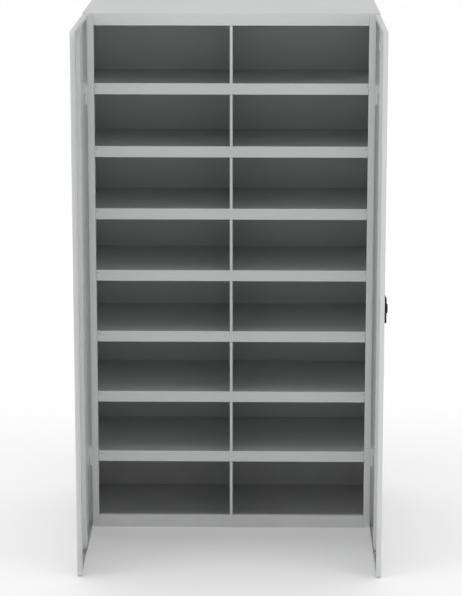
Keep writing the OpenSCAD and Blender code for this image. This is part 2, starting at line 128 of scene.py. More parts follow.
# A closed outline carried straight along one axis from low to high; the outline lies in the
# other two axes, taken in turn.
def extrude(outline, axis, low, high):
    outline = np.asarray(outline, float)
    if outlineTurn(outline) < 0:
        outline = outline[::-1]
    n = len(outline)
    points = np.zeros((2, n, 3))
    points[:, :, (axis + 1) % 3] = outline[:, 0]
    points[:, :, (axis + 2) % 3] = outline[:, 1]
    points[0, :, axis], points[1, :, axis] = low, high
    faces = gridFaces(2, n, closeCols=True)
    faces += [list(range(n))[::-1], list(range(n, 2 * n))]
    return points.reshape(-1, 3), faces


# A (radius, height) profile spun about an axis through the centre: each point becomes a circle of
# its radius, and the two ends, which lie on the axis, close the shell with fans of triangles.
def spin(profile, centre, axis, segments):
    profile = np.asarray(profile, float)
    angles = np.linspace(0, 2 * math.pi, segments, endpoint=False)
    ring = profile[1:-1]
    points = np.zeros((len(ring), segments, 3))
    points[:, :, (axis + 1) % 3] = ring[:, :1] * np.cos(angles)
    points[:, :, (axis + 2) % 3] = ring[:, :1] * np.sin(angles)
    points[:, :, axis] = ring[:, 1:]
    poles = np.zeros((2, 3))
    poles[:, axis] = profile[[0, -1], 1]
    points = np.concatenate([points.reshape(-1, 3), poles]) + np.asarray(centre, float)
    faces = gridFaces(len(ring), segments, closeCols=True)
    first, last, final = len(points) - 2, len(points) - 1, (len(ring) - 1) * segments
    k = np.arange(segments)
    nextK = (k + 1) % segments
    fans = [np.full(segments, first), nextK, k, np.full(segments, last), final + k, final + nextK]
    faces += np.stack(fans, 1).reshape(-1, 3).tolist()
    if profile[-1, 1] < profile[0, 1]:
        faces = [face[::-1] for face in faces]
    return points, faces


# A plain box as a closed shell, used only to cut with.
def boxShell(low, high):
    outline = [(low[0], low[1]), (high[0], low[1]), (high[0], high[1]), (low[0], high[1])]
    return extrude(outline, 2, low[2], high[2])


# A round cutter: a plain cylinder between two heights on an axis through the centre.
def drill(radius, low, high, centre, axis, segments):
    return spin([(0, low), (radius, low), (radius, high), (0, high)], centre, axis, segments)


# Cuts closed shells out of a piece and keeps the result as the piece's own mesh.
def cutOut(piece, *shells):
    cutter = makePiece("cutter", *joined(*shells), piece.data.materials[0])
    modifier = piece.modifiers.new("cut", "BOOLEAN")
    modifier.operation = "DIFFERENCE"
    modifier.solver = "EXACT"
    modifier.object = cutter
    bpy.context.view_layer.update()
    result = bpy.data.meshes.new_from_object(piece.evaluated_get(bpy.context.evaluated_depsgraph_get()))
    piece.modifiers.clear()
    piece.data = result
    result.set_sharp_from_angle(angle=math.radians(edgeLook["shadeRound"]))
    bpy.data.objects.remove(cutter)
    return piece


# Rounds the edges of a piece over a set width.
def softenEdges(piece, width):
    bevel = piece.modifiers.new("edges", "BEVEL")
    bevel.width = width
    bevel.segments = edgeLook["bevelSegments"]
    bevel.limit_method = "ANGLE"
    bevel.angle_limit = math.radians(edgeLook["bevelOver"])
    return piece


# Puts a finished piece on its body in place of its CAD node.
def place(piece, body, node):
    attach(piece, body)
    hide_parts(node)


# A socket that takes part in Python sums: every operator on it adds one Math node.
class Wire:
    def __init__(self, graph, socket):
        self.graph = graph
        self.socket = socket

    # One Math node that works out the operation on two values or wires.
    def math(self, operation, first, second):
        return self.graph.add("ShaderNodeMath", {"operation": operation}, {0: first, 1: second})

    def __add__(self, other):
        return self.math("ADD", self, other)

    def __sub__(self, other):
        return self.math("SUBTRACT", self, other)

    def __rsub__(self, other):
        return self.math("SUBTRACT", other, self)

    def __mul__(self, other):
        return self.math("MULTIPLY", self, other)

    __radd__ = __add__


# The node tree of a material or of the world.
class Graph:
    def __init__(self, owner):
        owner.use_nodes = True
        self.tree = owner.node_tree

    # Adds any node: its settings are set first, then its sockets get values or links.
    def add(self, kind, settings=None, sockets=None, output=0):
        node = self.tree.nodes.new(kind)
        for key, value in (settings or {}).items():
            setattr(node, key, value)
        for key, value in (sockets or {}).items():
            self.feed(node.inputs[key], value)
        return Wire(self, node.outputs[output])

    # A wire is linked to the socket, and a plain value is set on it.
    def feed(self, socket, value):
        if isinstance(value, Wire):
            self.tree.links.new(value.socket, socket)
        else:
            socket.default_value = value


# Where a Mix node has its colours, among sockets of the same names for other kinds of value.
mixPlaces = {"first": 6, "second": 7, "result": 2}


# A material whose values vary with the place on the part.
class Finish(Graph):
    def __init__(self, name):
        self.material = bpy.data.materials.new(name)
        super().__init__(self.material)
        self.shader = self.tree.nodes["Principled BSDF"]
        self.place = self.add("ShaderNodeTexCoord", output="Object")

    # Feeds sockets of the surface shader by their names, with _ for a space.
    def set(self, **values):
        for key, value in values.items():
            self.feed(self.shader.inputs[key.replace("_", " ")], value)

    # Cloudy noise from 0 to 1 with so many clouds in a metre; a stretch under 1 makes them long.
    def noise(self, scale, detail, roughness, stretch=(1, 1, 1)):
        at = self.place
        if stretch != (1, 1, 1):
            at = self.add("ShaderNodeMapping", sockets={"Vector": at, "Scale": stretch})
        sockets = {"Vector": at, "Scale": scale, "Detail": detail, "Roughness": roughness}
        return self.add("ShaderNodeTexNoise", sockets=sockets)

    # 0 below low, 1 above high, and straight between them.
    def ramp(self, value, low, high):
        return self.add("ShaderNodeMapRange", sockets={"Value": value, "From Min": low, "From Max": high})

    # The first colour at 0, the second at 1, and a straight mix between.
    def blend(self, factor, first, second):
        sockets = {"Factor": factor, mixPlaces["first"]: first, mixPlaces["second"]: second}
        return self.add("ShaderNodeMix", {"data_type": "RGBA"}, sockets, mixPlaces["result"])

    # Tilts the surface as if it rose by the distance where the height is 1, over what is under it.
    def bump(self, height, distance, strength=1.0, under=None):
        sockets = {"Height": height, "Distance": distance, "Strength": strength}
        if under is not None:
            sockets["Normal"] = under
        return self.add("ShaderNodeBump", sockets=sockets)


# An opaque colour: one lightness times the three shares of a tint.
def rgb(value, tint=(1.0, 1.0, 1.0)):
    return (value * tint[0], value * tint[1], value * tint[2], 1.0)


# Noises are a scale per metre, a detail and a roughness; pairs of ends are where a ramp starts and
# stops. Sizes, heights and depths are in metres.
paintLook = {
    "grey": 0.62,                  # linear lightness of the paint
    "tint": (0.982, 1.0, 0.994),
    "toneSpread": 0.06,            # lighter and darker than the grey by this share at most
    "shadeLimit": 0.08,            # the shade at which that is reached
    "clouds": (2.2, 3.0, 0.55),
    "cloudDepth": 0.10,
    "cloudDull": 0.08,
    "speckle": (420.0, 1.0, 0.5),
    "speckleDepth": 0.03,
    "rubMarks": (14.0, 6.0, 0.72),
    "rubEnds": (0.56, 0.68),
    "rubStrength": 0.07,
    "rubLight": 1.22,
    "rubDull": 0.10,
    "dustHeight": 0.22,            # dust thins out to nothing at this height
    "dustPatches": (9.0, 5.0, 0.65),
    "dustEnds": (0.35, 0.7),
    "dustGrey": 0.42,
    "dustTint": (1.0, 0.97, 0.92),
    "peelSize": 0.0016,            # one bump of the orange peel
    "peelNoise": (1.5, 0.45),
    "peelHeight": 0.00003,
    "scratches": (60.0, 4.0, 0.6),
    "scratchAcross": 12.0,
    "scratchAlong": 0.4,
    "scratchEnds": (0.63, 0.72),
    "scratchDepth": 0.00001,
    "scratchStrength": 0.4,
    "roughness": 0.40,
    "ior": 1.48,
}


# Powder coat: slow clouds of tone and a fine speckle, faint rub marks that are a little lighter and
# duller, a film of dust low down, orange peel and hair scratches. slide, under 1 along one axis,
# makes the marks long that way.
def powderCoat(name, tone=1.0, slide=(1, 1, 1), dust=0.0):
    g = Finish(name)
    look = paintLook
    grey = look["grey"] * tone
    clouds = g.noise(*look["clouds"]) - 0.5
    speckle = g.noise(*look["speckle"]) - 0.5
    marks = g.ramp(g.noise(*look["rubMarks"], slide), *look["rubEnds"])
    shade = clouds * look["cloudDepth"] + speckle * look["speckleDepth"]
    level = g.ramp(shade, -look["shadeLimit"], look["shadeLimit"])
    dark = rgb(grey * (1 - look["toneSpread"]), look["tint"])
    light = rgb(grey * (1 + look["toneSpread"]), look["tint"])
    colour = g.blend(level, dark, light)
    rubbed = rgb(grey * look["rubLight"], look["tint"])
    colour = g.blend(marks * look["rubStrength"], colour, rubbed)
    if dust:
        height = g.add("ShaderNodeSeparateXYZ", sockets={"Vector": g.place}, output="Z")
        patches = g.ramp(g.noise(*look["dustPatches"]), *look["dustEnds"])
        film = (1.0 - g.ramp(height, 0.0, look["dustHeight"])) * patches
        colour = g.blend(film * dust, colour, rgb(look["dustGrey"], look["dustTint"]))
    peel = g.noise(1.0 / look["peelSize"], *look["peelNoise"])
    stretch = tuple(look["scratchAcross"] if s == 1 else look["scratchAlong"] for s in slide)
    scratches = g.ramp(g.noise(*look["scratches"], stretch), *look["scratchEnds"])
    normal = g.bump(peel, look["peelHeight"])
    normal = g.bump(scratches, look["scratchDepth"], look["scratchStrength"], normal)
    dull = look["roughness"] + marks * look["rubDull"] + clouds * look["cloudDull"]
    g.set(Base_Color=colour, Roughness=dull, Normal=normal, IOR=look["ior"])
    return g.material


zincLook = {
    "grey": 0.74,
    "grainSize": 0.0028,           # one crystal
    "crystalShare": 0.7,
    "lines": (900.0, 3.0, 0.6),
    "lineStretch": (1, 1, 0.02),
    "lineShare": 0.3,
    "dark": 0.82,
    "light": 1.15,
    "lightTint": (1, 1, 1.02),
    "roughness": 0.36,
    "crystalDull": 0.12,
    "lineDull": 0.06,
    "lineHeight": 0.000008,
}


# Zinc plate: crystals a few millimetres across that differ in tone, under fine rolling lines.
def zincPlate(name):
    g = Finish(name)
    look = zincLook
    sockets = {"Vector": g.place, "Scale": 1.0 / look["grainSize"]}
    crystals = g.add("ShaderNodeTexVoronoi", sockets=sockets, output="Color")
    crystal = g.add("ShaderNodeSeparateColor", sockets={"Color": crystals})
    lines = g.noise(*look["lines"], look["lineStretch"])
    dark = rgb(look["grey"] * look["dark"])
    light = rgb(look["grey"] * look["light"], look["lightTint"])
    level = crystal * look["crystalShare"] + lines * look["lineShare"]
    dull = look["roughness"] + crystal * look["crystalDull"] + lines * look["lineDull"]
    g.set(Base_Color=g.blend(level, dark, light), Metallic=1.0, Roughness=dull)
    g.set(Normal=g.bump(lines, look["lineHeight"]))
    return g.material


plasticLook = {
    "grey": 0.004,
    "lighter": 2.1,                # the polished grain is this many times as light
    "grainSize": 0.0007,
    "grainNoise": (2.0, 0.6),
    "grainShare": 0.4,
    "grainDull": 0.08,
    "grainHeight": 0.00002,
    "polish": (45.0, 3.0, 0.5),
    "polishEnds": (0.45, 0.65),
    "polishShare": 0.5,
    "polishGloss": 0.12,
    "roughness": 0.36,
    "shine": 0.22,
}


# Moulded plastic: a fine spark-eroded grain, slightly shiny where hands polish it.
def mouldedPlastic(name):
    g = Finish(name)
    look = plasticLook
    grain = g.noise(1.0 / look["grainSize"], *look["grainNoise"])
    polish = g.ramp(g.noise(*look["polish"]), *look["polishEnds"])
    level = polish * look["polishShare"] + grain * look["grainShare"]
    dull = look["roughness"] - polish * look["polishGloss"] + grain * look["grainDull"]
    g.set(Base_Color=g.blend(level, rgb(look["grey"]), rgb(look["grey"] * look["lighter"])))
    g.set(Roughness=dull, Normal=g.bump(grain, look["grainHeight"]), Specular_IOR_Level=look["shine"])
    return g.material


metalLook = {
    "lines": (1600.0, 3.0, 0.65),
    "lineStretch": (1, 1, 0.1),
    "lineDull": 0.08,
    "lineHeight": 0.000004,
    "tarnish": (120.0, 4.0, 0.6),
    "tarnishEnds": (0.5, 0.75),
    "tarnishDark": 0.72,
    "tarnishShare": 0.6,
    "tarnishDull": 0.15,
}


# Turned or plated metal: brush lines so fine that they only soften the gloss, and patches of
# tarnish that are darker and duller.
def platedMetal(name, colour, roughness):
    g = Finish(name)
    look = metalLook
    lines = g.noise(*look["lines"], look["lineStretch"])
    tarnish = g.ramp(g.noise(*look["tarnish"]), *look["tarnishEnds"])
    darker = rgb(look["tarnishDark"], colour[:3])
    dull = roughness + tarnish * look["tarnishDull"] + lines * look["lineDull"]
    g.set(Base_Color=g.blend(tarnish * look["tarnishShare"], colour, darker), Metallic=1.0)
    g.set(Roughness=dull, Normal=g.bump(lines, look["lineHeight"]))
    return g.material


shellPaint = powderCoat("shellPaint", dust=0.35)
doorPaint = powderCoat("doorPaint", slide=(1, 1, 0.25), dust=0.30)
shelfPaint = powderCoat("shelfPaint", slide=(1, 0.12, 1))
stripPaint = powderCoat("stripPaint", slide=(0.15, 1, 1))
hardwarePaint = powderCoat("hardwarePaint", tone=0.95)
zinc = zincPlate("zinc")
blackPlastic = mouldedPlastic("blackPlastic")
nickel = platedMetal("nickel", (0.72, 0.72, 0.70, 1.0), 0.22)
brass = platedMetal("brass", (0.70, 0.53, 0.24, 1.0), 0.28)
print("finishes made")


slotFinish = {
    "grey_paint": shellPaint,
    "painted_hardware": hardwarePaint,
    "zinc_steel": zinc,
    "black_plastic": blackPlastic,
    "bright_nickel": nickel,
    "brass": brass,
}
keptLook = {"weld": 0.01 * mm, "edge": 0.45 * mm, "smallEdge": 0.25 * mm}
smallNodes = ("shelf_clips", "strip_rivets", "hinge_washers", "lock_screws", "lock_pinion")


# Doors are rubbed up and down, and shelves and dividers towards the back; any other node has the
# finish of its slot.
def nodeFinish(name, slot):
    if "door" in name or "batten" in name:
        return doorPaint
    if name.startswith("divider_") or name.removeprefix("shelf_").isdigit():
        return shelfPaint
    return slotFinish[slot]


# Gives a CAD node its finish, welds its loose triangles and rounds its edges.
def dressNode(name, slot):
    node = nodes[name]
    node.data.materials.clear()
    node.data.materials.append(nodeFinish(name, slot))
    weld = node.modifiers.new("weld", "WELD")
    weld.merge_threshold = keptLook["weld"]
    softenEdges(node, keptLook["smallEdge" if name in smallNodes else "edge"])


for part in subparts:
    dressNode(part["node"], part["material_slot"])
print("kept nodes dressed")


sheetLook = {"thickness": 1.0 * mm, "bend": 1.1 * mm, "bendSteps": 5, "cutEdge": 0.2 * mm}


# A folded sheet: its middle line, with an arc at each bend, is thickened to both sides and the
# outline is carried straight along an axis.
def foldedSheet(name, material, line, axis, low, high):
    outline = sheetOutline(line, sheetLook["thickness"], sheetLook["bend"], sheetLook["bendSteps"])
    return makePiece(name, *extrude(outline, axis, low, high), material)


sideLook = {"returnDepth": 15 * mm, "backFlange": 15 * mm}


# Seen from above, one sheet runs from the return behind the front edge, over the upright and along
# the side, to the flange that the back is welded to.
def addSidePanel(side, sign):
    node = side + "_side_panel"
    low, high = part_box(node)
    near, far = sorted((abs(low.x), abs(high.x)))
    half = sheetLook["thickness"] / 2
    front, back = low.y + half, high.y - half
    line = [
        (sign * (near + half), low.y + sideLook["returnDepth"]),
        (sign * (near + half), front),
        (sign * (far - half), front),
        (sign * (far - half), back),
        (sign * (far - sideLook["backFlange"]), back),
    ]
    panel = foldedSheet(side + "SidePanel", shellPaint, line, 2, low.z, high.z)
    place(softenEdges(panel, sheetLook["cutEdge"]), "cabinet", node)


stripLook = {
    "lowerReturn": 9 * mm,
    "upperReturn": 3 * mm,
    "hole": 4.2 * mm,
    "holeDrops": (9.5 * mm, 29.4 * mm),   # below the top of the strip
    "drillDeep": 5 * mm,
    "drillSegments": 24,
}
rivetLook = {
    "headWidth": 6.2 * mm,
    "headHeight": 0.8 * mm,
    "dimple": 2.0 * mm,
    "shank": 4.0 * mm,
    "setWide": 1.3,                # the set end against the shank
    "setTall": 0.8 * mm,
    "setCorner": 0.1 * mm,
    "segments": 24,
}
stripPrefix = "shelf_strip_"
stripNodes = [part["node"] for part in subparts if part["node"].startswith(stripPrefix)]


# A strip's section is a sheet folded back at the bottom and, by less, at the top; two holes go
# through it near each end, in line with the rivets.
def addStrip(node):
    low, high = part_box(node)
    half = sheetLook["thickness"] / 2
    front = low.y + half
    line = [
        (low.y + stripLook["lowerReturn"], low.z + half),
        (front, low.z + half),
        (front, high.z - half),
        (low.y + stripLook["upperReturn"], high.z - half),
    ]
    strip = foldedSheet("shelfStrip" + node.removeprefix(stripPrefix), stripPaint, line, 0, low.x, high.x)
    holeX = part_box("strip_rivets")[1].x - rivetLook["headWidth"] / 2
    hole = (stripLook["hole"] / 2, -cutterSpare, stripLook["drillDeep"])
    holes = [
        drill(*hole, (sign * holeX, low.y, high.z - drop), 1, stripLook["drillSegments"])
        for _, sign in sides for drop in stripLook["holeDrops"]
    ]
    place(softenEdges(cutOut(strip, *holes), sheetLook["cutEdge"]), "cabinet", node)


# A blind rivet: a low dome with a dimple where the stem broke off, spun round its axis, with its
# shank and the set end behind the sheets. Radii are shares of the dimple, the head and the shank,
# and heights of the dome are shares of the head's height.
def rivetShell(x, z, face, rear):
    head, shank, dimple = (rivetLook[key] / 2 for key in ("headWidth", "shank", "dimple"))
    tall, deep = rivetLook["headHeight"], face - rear
    setEnd, setTall = rivetLook["setWide"] * shank, rivetLook["setTall"]
    profile = [
        (0, 0.45 * tall), (0.7 * dimple, 0.45 * tall), (dimple, 0.94 * tall), (1.3 * dimple, tall),
        (0.72 * head, 0.86 * tall), (0.9 * head, 0.6 * tall), (head, 0.22 * tall), (head, 0),
        (shank, 0), (shank, deep + setTall), (setEnd, deep + setTall - rivetLook["setCorner"]),
        (setEnd, deep), (0, deep),
    ]
    return spin(np.multiply(profile, (1, -1)), (x, face, z), 1, rivetLook["segments"])


# One rivet through the lower hole at each end of every strip.
def addRivets():
    low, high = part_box("strip_rivets")
    face = low.y + rivetLook["headHeight"]
    x = high.x - rivetLook["headWidth"] / 2
    levels = [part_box(node)[1].z - stripLook["holeDrops"][1] for node in stripNodes]
    shells = [rivetShell(sign * x, z, face, high.y) for z in levels for _, sign in sides]
    rivets = makePiece("stripRivets", *joined(*shells), hardwarePaint)
    place(rivets, "cabinet", "strip_rivets")


for side, sign in sides:
    addSidePanel(side, sign)
for stripNode in stripNodes:
    addStrip(stripNode)
addRivets()
print("side panels, strips and rivets built")


# Rings of equally many points: a rectangle with an arc in each corner, worked out for a whole
# column of half widths, half heights and corner radii at once.
def roundRect(halfWide, halfHigh, radius, steps=arcSteps):
    wide, high, radius = (np.atleast_1d(value)[:, None, None] for value in (halfWide, halfHigh, radius))
    corner = np.arange(4)[:, None]
    angle = (corner + np.linspace(0, 1, steps + 1)[None, :]) * math.pi / 2
    across = np.array([1, -1, -1, 1])[:, None] * (wide - radius) + radius * np.cos(angle)
    up = np.array([1, 1, -1, -1])[:, None] * (high - radius) + radius * np.sin(angle)
    shape = (across.shape[0], -1)
    return np.stack([across.reshape(shape), up.reshape(shape)], -1)


# Rings of points joined one to the next; the first and last are capped, or joined to each other.
def ringShell(rings, closed=False):
    rows, cols = rings.shape[:2]
    faces = gridFaces(rows, cols, closeRows=closed, closeCols=True)
    if not closed:
        faces += [list(range(cols))[::-1], list(range((rows - 1) * cols, rows * cols))]
    return rings.reshape(-1, 3), faces


# Turns every face round if the shell encloses less than nothing.
def outward(points, faces):
    volume = 0.0
    for face in faces:
        corners = points[face]
        volume += np.sum(np.cross(corners[1:-1], corners[2:]) @ corners[0])
    return (points, [face[::-1] for face in faces]) if volume < 0 else (points, faces)


# An arc about (x, y) as a row of points, from one angle to the other in degrees.
def arc(x, y, radius, start, end):
    angle = np.radians(np.linspace(start, end, arcSteps + 1))
    return np.stack([x + radius * np.cos(angle), y + radius * np.sin(angle)], 1)


doorLook = {
    "bend": 1.6 * mm,        # outer radius of the folds
    "corner": 1.5 * mm,      # the ground corners
    "leastCorner": 0.1 * mm,
    "lip": 14 * mm,
    "barrel": 32 * mm,       # height of half a hinge
    "notchHalf": 37 * mm,
    "notchDeep": 8 * mm,
    "stemHole": 20 * mm,
    "stemSegments": 32,
}


# A folded tray. Its profile, as distance in from the edge and depth behind the outer face, runs
# over the edge, along the lip and back along the inside, and each point of it is carried round the
# door as a rectangle. The first ring closes the outer face, and the last one the inner face.
def addDoorPan(side, sign):
    node = side + "_door_pan"
    low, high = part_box(node)
    sheet, bend, lip = sheetLook["thickness"], doorLook["bend"], doorLook["lip"]
    deep = high.x - low.x
    profile = np.concatenate([
        arc(bend, bend, bend, 270, 180),
        arc(bend, deep - bend, bend, 180, 90),
        [(lip, deep), (lip, deep - sheet)],
        arc(bend, deep - bend, bend - sheet, 90, 180),
        arc(bend, bend, bend - sheet, 180, 270),
    ])
    inset, depth = profile.T
    halfWide, halfHigh = (high.y - low.y) / 2, (high.z - low.z) / 2
    radius = np.maximum(doorLook["corner"] - inset, doorLook["leastCorner"])
    ring = roundRect(halfWide - inset, halfHigh - inset, radius)
    rings = np.empty(ring.shape[:2] + (3,))
    outerFace = max(abs(low.x), abs(high.x))
    rings[..., 0] = sign * (outerFace - depth[:, None])
    rings[..., 1] = (low.y + high.y) / 2 + ring[..., 0]
    rings[..., 2] = (low.z + high.z) / 2 + ring[..., 1]
    pan = makePiece(side + "DoorPan", *outward(*ringShell(rings)), doorPaint)

    pivotY = joints[side + "_door_hinge"]["pos_m"][1]
    spans = sorted((sign * (outerFace - sheet), sign * (outerFace - deep - cutterSpare)))
    cuts = []
    for level in ("lower", "upper"):
        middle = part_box(f"{side}_{level}_knuckle")[1].z - doorLook["barrel"]
        reach = doorLook["notchHalf"]
        cuts.append(boxShell((spans[0], pivotY - doorLook["notchDeep"], middle - reach),
                             (spans[1], high.y + 2 * cutterSpare, middle + reach)))
    if side == "right":
        knobLow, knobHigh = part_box("turn_knob")
        middle = (knobLow + knobHigh) / 2
        hole = (doorLook["stemHole"] / 2, -2 * sheet, cutterSpare)
        cuts.append(drill(*hole, (outerFace, middle.y, middle.z), 0, doorLook["stemSegments"]))
    place(softenEdges(cutOut(pan, *cuts), sheetLook["cutEdge"]), side + "_door", node)


stiffenerLook = {"hat": 54 * mm}    # width of the raised part


# A hat section: foot, web, crown, web and foot in one folded sheet, carried up the door.
def addStiffener(side, sign):
    node = side + "_door_stiffener"
    low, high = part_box(node)
    half = sheetLook["thickness"] / 2
    middle, hat = (low.y + high.y) / 2, stiffenerLook["hat"] / 2
    nearX, farX = sorted((abs(low.x), abs(high.x)))
    skin, crown = sign * (farX - half), sign * (nearX + half)
    line = [
        (skin, low.y), (skin, middle - hat + half), (crown, middle - hat + half),
        (crown, middle + hat - half), (skin, middle + hat - half), (skin, high.y),
    ]
    stiffener = foldedSheet(side + "DoorStiffener", doorPaint, line, 2, low.z, high.z)
    place(softenEdges(stiffener, sheetLook["cutEdge"]), side + "_door", node)


for side, sign in sides:
    addDoorPan(side, sign)
    addStiffener(side, sign)
print("doors built")


# The points of a closed ring moved to equal steps along it.
def evenRing(ring, count):
    closed = np.concatenate([ring, ring[:1]])
    run = np.concatenate([[0], np.cumsum(np.linalg.norm(np.diff(closed, axis=0), axis=1))])
    at = np.linspace(0, run[-1], count, endpoint=False)
    return np.stack([np.interp(at, run, closed[:, k]) for k in range(2)], 1)


plateLook = {
    "corner": 5 * mm,
    "edge": 1.6 * mm,         # rounding of the rim
    "slope": 12 * mm,         # length of the sloping top
    "slopeRim": 1.5 * mm,     # thickness left at the top
    "bore": 18.1 * mm,
    "collar": 0.6 * mm,       # chamfer round the bore
    "leastCorner": 0.6 * mm,
    "slopeRows": (0.3, 0.6, 1.0),
    "cornerSteps": 8,
    "ringPoints": 176,
    "shadeRound": 28,         # degrees
}


# The plate is a stack of rings: the rim, a rounded edge, the face, and then circles down through
# the bore. A ring's height is the lesser of its own and that of the sloping top at its place.
def addHandlePlate():
    low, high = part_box("handle_plate")
    middleY, middleZ = (low.y + high.y) / 2, (low.z + high.z) / 2
    halfWide, halfHigh, thick = (high.y - low.y) / 2, (high.z - low.z) / 2, high.x - low.x
    edge, bore, collar = plateLook["edge"], plateLook["bore"] / 2, plateLook["collar"]
    rim = np.concatenate([
        [(0, 0)],
        arc(edge, thick - edge, edge, 180, 90),
        [(plateLook["slope"] * share, thick) for share in plateLook["slopeRows"]],
    ])
    inset, height = rim.T
    radius = np.maximum(plateLook["corner"] - inset, plateLook["leastCorner"])
    corners = roundRect(halfWide - inset, halfHigh - inset, radius, plateLook["cornerSteps"])
    rings = np.stack([evenRing(ring, plateLook["ringPoints"]) for ring in corners])
    angle = np.arctan2(rings[-1, :, 1], rings[-1, :, 0])
    circle = np.stack([np.cos(angle), np.sin(angle)], 1)
    rings = np.concatenate([rings, np.stack([circle * r for r in (bore + collar, bore, bore)])])
    height = np.concatenate([height, [thick, thick - collar, 0]])[:, None]
    into = np.clip((rings[..., 1] - (halfHigh - plateLook["slope"])) / plateLook["slope"], 0, 1)
    slope = thick - (thick - plateLook["slopeRim"]) * into
    points = np.empty(rings.shape[:2] + (3,))
    points[..., 0] = low.x + np.minimum(height, slope)
    points[..., 1] = middleY + rings[..., 0]
    points[..., 2] = middleZ + rings[..., 1]
    shell = outward(*ringShell(points, closed=True))
    plate = makePiece("handlePlate", *shell, blackPlastic, plateLook["shadeRound"])
    place(plate, "right_door", "handle_plate")


knobLook = {
    "wing": 15 * mm,          # width of the two wings
    "hub": 20 * mm,
    "stem": 18 * mm,
    "bore": 11.1 * mm,
    "boreDeep": 9.7 * mm,
    "thick": 3.5 * mm,
    "edge": 1.1 * mm,
    "fall": 0.5 * mm,         # the wings are this much lower at their ends
    "melt": 1.2 * mm,         # how softly the hub flows into the wings
    "chamfer": 0.4 * mm,
    "socketPlay": 0.05 * mm,
    "leastAcross": 1e-6,      # keeps the division for the flanks away from zero
    "ringPoints": 96,
    "shadeRound": 30,         # degrees
}


# The outline's radius at every angle is a soft maximum of a round hub and a round-ended bar. Rings
# of that radius, drawn in at the rounded edges, run from the bore over the face and the back to
# the stem.
def addTurnKnob():
    look = knobLook
    low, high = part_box("turn_knob")
    middleY, middleZ = (low.y + high.y) / 2, (low.z + high.z) / 2
    angle = np.linspace(0, 2 * math.pi, look["ringPoints"], endpoint=False)
    halfWing, hub = look["wing"] / 2, look["hub"] / 2
    reach = (high.z - low.z) / 2 - halfWing
    rise, across = np.abs(np.sin(angle)), np.abs(np.cos(angle))
    flank = halfWing / np.maximum(across, look["leastAcross"])
    tip = reach * rise + np.sqrt(np.maximum(halfWing ** 2 - (reach * across) ** 2, 0))
    bar = np.where(flank * rise < reach, flank, tip)
    bar = np.minimum(bar, reach + halfWing)
    outline = look["melt"] * np.log(np.exp(bar / look["melt"]) + np.exp(hub / look["melt"]))
    outline = np.minimum(outline, reach + halfWing)
    edge, bore, stem = look["edge"], look["bore"] / 2, look["stem"] / 2
    chamfer, face, back = look["chamfer"], high.x, high.x - look["thick"]
    fall = look["fall"] * np.clip((outline - hub) / (reach + halfWing - hub), 0, 1) ** 2
    even = np.ones_like(angle)
    rows = [(even * bore, even * (face - look["boreDeep"])), (even * bore, even * (face - chamfer))]
    rows.append((even * (bore + chamfer), even * face))
    for inset, depth in arc(edge, edge, edge, 270, 180):
        rows.append((outline - inset, face - depth - fall))
    rows.append((outline, even * (back + chamfer)))
    rows.append((outline - chamfer, even * back))
    rows.append((even * stem, even * back))
    rows.append((even * stem, even * low.x))
    radius, height = (np.stack([row[k] for row in rows]) for k in range(2))
    across, up = radius * np.cos(angle), radius * np.sin(angle)
    points = np.stack([height, middleY + across, middleZ + up], -1)
    knob = makePiece("turnKnob", *outward(*ringShell(points)), blackPlastic, look["shadeRound"])
    spindleLow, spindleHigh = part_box("lock_spindle")
    play = look["socketPlay"]
    socket = boxShell((low.x - cutterSpare, spindleLow.y - play, spindleLow.z - play),
                      (spindleHigh.x + play, spindleHigh.y + play, spindleHigh.z + play))
    place(cutOut(knob, socket), "handle", "turn_knob")


cylinderLook = {
    "chamfer": 0.4 * mm,
    "groove": (0.80, 0.77, 0.71, 0.68),    # rim, floor, floor and rim, as shares of the radius
    "grooveDeep": 0.25 * mm,
    "slotWide": 1.6 * mm,
    "slotTall": 7.2 * mm,
    "slotDeep": 6 * mm,
    "edge": 0.12 * mm,
    "segments": 48,
}


# The key cylinder: a chamfered disc with a shallow ring round its face, and the key slot cut in.
def addLockCylinder():
    look = cylinderLook
    low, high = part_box("lock_cylinder")
    middle = (low + high) / 2
    radius, chamfer = (high.y - low.y) / 2, look["chamfer"]
    outerRim, outerFloor, innerFloor, innerRim = (share * radius for share in look["groove"])
    floor = high.x - look["grooveDeep"]
    profile = [
        (0, low.x), (radius, low.x), (radius, high.x - chamfer), (radius - chamfer, high.x),
        (outerRim, high.x), (outerFloor, floor), (innerFloor, floor), (innerRim, high.x), (0, high.x),
    ]
    shell = spin(profile, (0, middle.y, middle.z), 0, look["segments"])
    cylinder = makePiece("lockCylinder", *shell, nickel)
    wide, tall = look["slotWide"] / 2, look["slotTall"] / 2
    slot = boxShell((high.x - look["slotDeep"], middle.y - wide, middle.z - tall),
                    (high.x + cutterSpare, middle.y + wide, middle.z + tall))
    cylinder = softenEdges(cutOut(cylinder, slot), look["edge"])
    place(cylinder, "key_cylinder", "lock_cylinder")


screwLook = {
    "lockHead": (7.5 * mm, 1.8 * mm, 3.9 * mm),      # head width, head height, shank width
    "spindleHead": (10 * mm, 1.6 * mm, 3.9 * mm),
    "domeAngle": 78,              # degrees
    "domePoints": 7,
    "domeRise": 0.6875,           # this and the next are shares of the head's height
    "rim": 0.62,
    "recessDeep": 0.6,
    "recess": (0.55, 0.13),       # length and width, as shares of the head
    "tipLong": 1 * mm,
    "tipWide": 0.7,               # against the shank
    "segments": 32,
}


